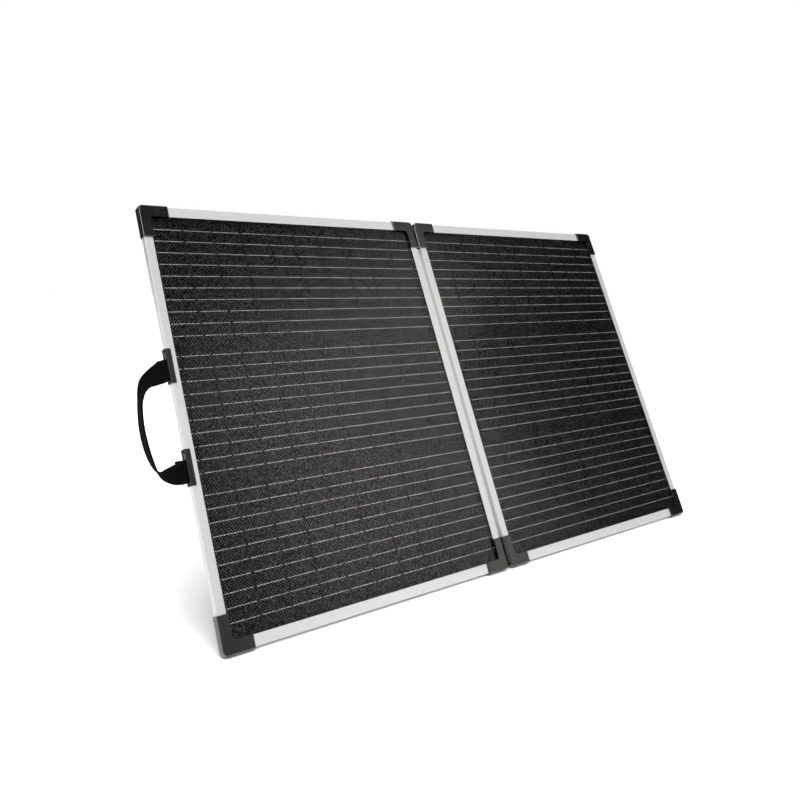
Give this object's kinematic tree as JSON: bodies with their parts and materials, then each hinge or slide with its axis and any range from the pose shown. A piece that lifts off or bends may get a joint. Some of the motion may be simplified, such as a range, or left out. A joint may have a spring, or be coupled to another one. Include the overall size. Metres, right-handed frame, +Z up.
{
  "type": "folding solar panel",
  "caption": "Two framed solar leaves hinged to fold face to face, leaning back on rear legs, with a webbing carrying strap on one edge.",
  "frame": {"origin": "centre of the base: midway along, midway front to back, on the ground", "axes": "+Z up, +X along both leaves with the strap at the -X end, the cells face -Y and up"},
  "size_m": [1.0572, 0.286, 0.553],
  "materials": {
    "anodised_rail": "satin anodised extrusion",
    "corner_moulding": "fine grained moulding, slightly glossy edges",
    "cast_key": "plain cast key",
    "front_film": "clear embossed fluoropolymer film",
    "encapsulant": "clear bonding layer",
    "cells": "black silicon, smooth",
    "ribbons": "tinned copper ribbon",
    "backing_board": "black glass fibre board",
    "seal": "black sealing tape",
    "screws": "pan heads, dull",
    "coated_steel": "black powder coat",
    "pins": "plain stainless pin",
    "clip_plastic": "plain black moulding",
    "box_plastic": "fine spark texture",
    "terminals": "tinned brass plates",
    "gland": "black nylon",
    "leg_tube": "satin anodised tube",
    "foot_rubber": "matte rubber",
    "handle_bracket": "dark grey moulding with two raised ribs",
    "webbing": "black woven webbing, stitched double at the grip"
  },
  "bodies": {
    "left_leaf": {"left_top_rail": "anodised_rail", "left_bottom_rail": "anodised_rail", "left_outer_rail": "anodised_rail", "left_hinge_rail": "anodised_rail", "left_outer_top_corner": "corner_moulding", "left_outer_bottom_corner": "corner_moulding", "left_hinge_top_corner": "corner_moulding", "left_hinge_bottom_corner": "corner_moulding", "left_corner_keys": "cast_key", "left_front_film": "front_film", "left_encapsulant": "encapsulant", "left_cells": "cells", "left_ribbons": "ribbons", "left_backing_board": "backing_board", "left_edge_seal": "seal", "left_crossbar": "anodised_rail", "left_rear_screws": "screws", "left_leg_brackets": "coated_steel", "left_leg_pins": "pins", "left_leg_clip": "clip_plastic", "left_junction_box": "box_plastic", "left_junction_lid": "box_plastic", "left_junction_terminals": "terminals", "left_cable_gland": "gland", "handle_upper_bracket": "handle_bracket", "handle_lower_bracket": "handle_bracket", "handle_bars": "pins", "handle_screws": "screws", "hinge_pins": "pins"},
    "right_leaf": {"right_top_rail": "anodised_rail", "right_bottom_rail": "anodised_rail", "right_outer_rail": "anodised_rail", "right_hinge_rail": "anodised_rail", "right_outer_top_corner": "corner_moulding", "right_outer_bottom_corner": "corner_moulding", "right_hinge_top_corner": "corner_moulding", "right_hinge_bottom_corner": "corner_moulding", "right_corner_keys": "cast_key", "right_front_film": "front_film", "right_encapsulant": "encapsulant", "right_cells": "cells", "right_ribbons": "ribbons", "right_backing_board": "backing_board", "right_edge_seal": "seal", "right_crossbar": "anodised_rail", "right_rear_screws": "screws", "right_leg_brackets": "coated_steel", "right_leg_pins": "pins", "right_leg_clip": "clip_plastic", "right_junction_box": "box_plastic", "right_junction_lid": "box_plastic", "right_junction_terminals": "terminals", "right_cable_gland": "gland"},
    "left_leg": {"left_leg": "leg_tube", "left_leg_ends": "clip_plastic", "left_leg_feet": "foot_rubber"},
    "right_leg": {"right_leg": "leg_tube", "right_leg_ends": "clip_plastic", "right_leg_feet": "foot_rubber"},
    "handle": {"handle_strap": "webbing"}
  },
  "joints": [
    {"name": "leaf_fold", "type": "hinge", "parent": "left_leaf", "child": "right_leaf", "pos_m": [0.02495, -0.02731, 0.27902], "axis": [0, -0.3907, -0.9205], "range_deg": [0, 180]},
    {"name": "left_leg_fold", "type": "hinge", "parent": "left_leaf", "child": "left_leg", "pos_m": [-0.22855, 0.03773, 0.37439], "axis": [-1, 0, 0], "range_deg": [0, 38]},
    {"name": "right_leg_fold", "type": "hinge", "parent": "right_leaf", "child": "right_leg", "pos_m": [0.27845, 0.03773, 0.37439], "axis": [-1, 0, 0], "range_deg": [0, 38]},
    {"name": "handle_swing", "type": "hinge", "parent": "left_leaf", "child": "handle", "pos_m": [-0.47935, -0.02142, 0.27522], "axis": [0, 0.3907, 0.9205], "range_deg": [-70, 70]}
  ]
}
